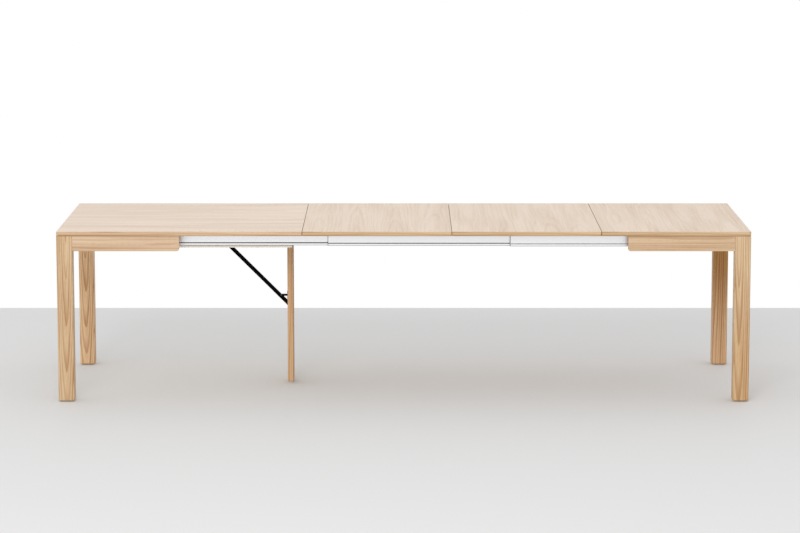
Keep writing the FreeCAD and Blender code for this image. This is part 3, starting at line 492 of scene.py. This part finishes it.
# How dark each stage's slots are painted: painted shade.
SLOT_SHADE = {"fixed": 1.0, "second": 1.0, "third": 0.8, "end": 0.45}
for stage, slot_shade in SLOT_SHADE.items():
    rails = (f"front_{stage}_rail", f"rear_{stage}_rail")
    low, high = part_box(rails[0])
    material, tree, shader = new_material(f"{stage}_rail_anodised")
    finish = use(tree, anodised, {
        "Vector": place_on(tree), "Middle": (low.x + high.x) / 2,
        "Half Length": (high.x - low.x) / 2, "Underside": low.z, "Slot Shade": slot_shade,
    })
    shader.inputs["Metallic"].default_value = 1
    finish_with(tree, shader, finish, RAIL_DEPTH, RAIL_BUMP)
    dress(material, *rails)


# Plugs and glides: moulded plastic with a fine spark finish.
# The plugs are pressed into the rails' ends, the glides nailed under the legs.
SPARK_NOISE, FLOW_NOISE = ((900, 900, 900), 2), ((25, 25, 25), 1)
PLASTIC_ROUGHNESS, PLASTIC_DEPTH = (0.45, 0.2), 0.0001
moulded, given, made = new_group(
    "moulded", {"Vector": "Vector", "Pale": "Color", "Dark": "Color"}, FINISH,
)
spark = noise(moulded, given["Vector"], *SPARK_NOISE)
flow = noise(moulded, given["Vector"], *FLOW_NOISE)
give(
    moulded, made, Colour=between(moulded, flow, given["Pale"], given["Dark"]),
    Roughness=ramp(moulded, spark, *PLASTIC_ROUGHNESS), Height=spark,
)


def plastic(name, pale, dark):
    material, tree, shader = new_material(name)
    finish = use(tree, moulded, {"Vector": place_on(tree), "Pale": pale, "Dark": dark})
    finish_with(tree, shader, finish, PLASTIC_DEPTH)
    return material


dress(
    plastic("plug_plastic", srgb(226, 226, 224), srgb(216, 216, 213)),
    "fixed_rail_plugs", "second_rail_plugs", "third_rail_plugs", "end_rail_plugs",
)
dress(
    plastic("glide_plastic", srgb(222, 221, 216), srgb(205, 203, 196)),
    "left_leg_glides", "right_leg_glides", "support_leg_glides",
)


# Carrier board: pale board screwed up under the fixed rails, slotted for the brace.
# A plain foil with a faint fibre covers its faces and its edges.
FOIL_NOISE, MOTTLE_NOISE = ((20, 300, 300), 3), ((8, 14, 14), 3)
FOIL_SHARE, MOTTLE_SHARE = 0.6, 0.4
FOIL_PALE, FOIL_DARK = srgb(253, 246, 232), srgb(243, 231, 210)
FOIL_ROUGHNESS, FOIL_DEPTH = (0.5, 0.2), 0.0001
material, tree, shader = new_material("pale_board")
fibre = noise(tree, place_on(tree), *FOIL_NOISE)
mottle = noise(tree, place_on(tree), *MOTTLE_NOISE)
shade = sums(tree, "MULTIPLY", fibre, FOIL_SHARE)
shade = sums(tree, "ADD", shade, sums(tree, "MULTIPLY", mottle, MOTTLE_SHARE))
foil = {
    "Colour": between(tree, shade, FOIL_PALE, FOIL_DARK),
    "Roughness": ramp(tree, fibre, *FOIL_ROUGHNESS), "Height": fibre,
}
finish_with(tree, shader, foil, FOIL_DEPTH)
dress(material, "carrier_board")


# Folding leg: a narrow ash plank, its grain down the leg, hinged under the carrier board's end.
# Its planed edges show straight lines, and its face towards the table's middle is painted darker,
# painted shade for the side turned away from the lamp.
SUPPORT_WOOD = {
    **ASH, "Pale": srgb(211, 172, 129), "Dark": srgb(170, 122, 77), "Ring Width": 0.006,
    "Wander": 0.03, "Pith": (0, 0.02, 0.05), "Lean": (0, 0.006, 0.012),
}
FACING_MIDDLE, SUPPORT_SIDE_SHADE = (0.3, 0.8), srgb(228, 212, 194)
material = timber("support_leg_ash", middle("support_leg"), "Z", SUPPORT_WOOD)
tree = material.node_tree
inward = axes(tree, place_on(tree, "Normal"))["X"]
# Painted shade on the face towards the table's middle.
darken(material, step(tree, inward, *FACING_MIDDLE), SUPPORT_SIDE_SHADE)
dress(material, "support_leg")


# Hinge, bracket, catch and brace: pressed steel with a satin black powder coat.
# Pins and plates are riveted or screwed on; the coat is a little smoother in rubbed patches.
PEEL_NOISE, RUB_NOISE = ((700, 700, 700), 2), ((35, 35, 35), 3)
COAT_DARK, COAT_PALE = srgb(2, 2, 2), srgb(9, 9, 9)
COAT_ROUGHNESS, COAT_GLOSS, COAT_DEPTH, COAT_BUMP = (0.6, -0.25), 0.03, 0.0001, 0.2
material, tree, shader = new_material("black_coat")
rubbed = noise(tree, place_on(tree), *RUB_NOISE)
coat = {
    "Colour": between(tree, rubbed, COAT_DARK, COAT_PALE),
    "Roughness": ramp(tree, rubbed, *COAT_ROUGHNESS),
    "Height": noise(tree, place_on(tree), *PEEL_NOISE),
}
shader.inputs["Specular IOR Level"].default_value = COAT_GLOSS
finish_with(tree, shader, coat, COAT_DEPTH, COAT_BUMP)
dress(
    material, "hinge_board_leaf", "hinge_leg_leaf", "brace_bracket", "brace_pin", "brace_catch",
    "brace",
)


# Screws and hinge pin: turned steel with a bright zinc coat, driven into the wood and the boards.
# The coat is faintly cloudy.
ZINC_NOISE = ((260, 260, 260), 3)
ZINC_PALE, ZINC_DARK, ZINC_ROUGHNESS = srgb(206, 206, 204), srgb(166, 168, 170), (0.25, 0.25)
material, tree, shader = new_material("zinc_coat")
cloud = noise(tree, place_on(tree), *ZINC_NOISE)
tree.links.new(between(tree, cloud, ZINC_PALE, ZINC_DARK), shader.inputs["Base Color"])
tree.links.new(ramp(tree, cloud, *ZINC_ROUGHNESS), shader.inputs["Roughness"])
shader.inputs["Metallic"].default_value = 1
dress(
    material, "hinge_pin", "left_block_screws", "right_block_screws", "fixed_rail_screws",
    "carrier_board_screws", "rail_spacer_screws", "board_fitting_screws", "leg_fitting_screws",
)


# The studio: a plain pale floor that ends behind the table, with white beyond it.
# One wide soft lamp stands high in front on the left, and the camera looks down from the front.
FLOOR_SIZE, FLOOR_MIDDLE = (16, 9, 1), (0, -2.48, 0)
mesh = bmesh.new()
bmesh.ops.create_grid(mesh, x_segments=1, y_segments=1, size=0.5)
bmesh.ops.scale(mesh, vec=FLOOR_SIZE, verts=mesh.verts)
bmesh.ops.translate(mesh, vec=FLOOR_MIDDLE, verts=mesh.verts)
floor_mesh = bpy.data.meshes.new("floor")
mesh.to_mesh(floor_mesh)
mesh.free()
floor = bpy.data.objects.new("floor", floor_mesh)
scene = bpy.context.scene
scene.collection.objects.link(floor)
material, tree, shader = new_material("floor_paint")
shader.inputs["Base Color"].default_value = srgb(222, 222, 222)
shader.inputs["Roughness"].default_value = 0.7
seen_from_below = put(tree, "NewGeometry", {}).outputs["Backfacing"]
clear = put(tree, "BsdfTransparent", {})
either = put(tree, "MixShader", {0: seen_from_below, 1: shader.outputs[0], 2: clear.outputs[0]})
tree.links.new(either.outputs[0], tree.nodes["Material Output"].inputs["Surface"])
floor_mesh.materials.append(material)

WHITE = (1, 1, 1, 1)
world = bpy.data.worlds.new("studio")
world.use_nodes = True
scene.world = world
tree = world.node_tree
soft = tree.nodes["Background"]
soft.inputs["Color"].default_value = WHITE
soft.inputs["Strength"].default_value = 0.85
white = put(tree, "Background", {"Color": WHITE, "Strength": 1})
ray = put(tree, "LightPath", {}).outputs
mirrored = sums(tree, "MAXIMUM", ray["Is Glossy Ray"], ray["Is Transmission Ray"])
seen = sums(tree, "MAXIMUM", ray["Is Camera Ray"], mirrored)
either = put(tree, "MixShader", {0: seen, 1: soft.outputs[0], 2: white.outputs[0]})
tree.links.new(either.outputs[0], tree.nodes["World Output"].inputs["Surface"])

LAMP_AIM = Vector((0, 0, 0.5))
lamp = bpy.data.lights.new("soft_lamp", "AREA")
lamp.shape = "DISK"
lamp.size = 4.5
lamp.energy = 330
lamp_object = bpy.data.objects.new("soft_lamp", lamp)
lamp_object.location = (-1.5, -9.5, 5.2)
lamp_way = LAMP_AIM - lamp_object.location
lamp_object.rotation_euler = lamp_way.to_track_quat("-Z", "Y").to_euler()
scene.collection.objects.link(lamp_object)

CAMERA_TILT = 8.534
camera = bpy.data.cameras.new("camera")
camera.lens = 135.47
camera.sensor_width = 36
camera.clip_end = 200
camera_object = bpy.data.objects.new("camera", camera)
camera_object.location = (-0.0156, -13.2076, 2.4998)
camera_object.rotation_euler = (math.radians(90 - CAMERA_TILT), 0, 0)
scene.collection.objects.link(camera_object)
bpy.context.scene.camera = camera_object
scene.view_settings.view_transform = "Standard"
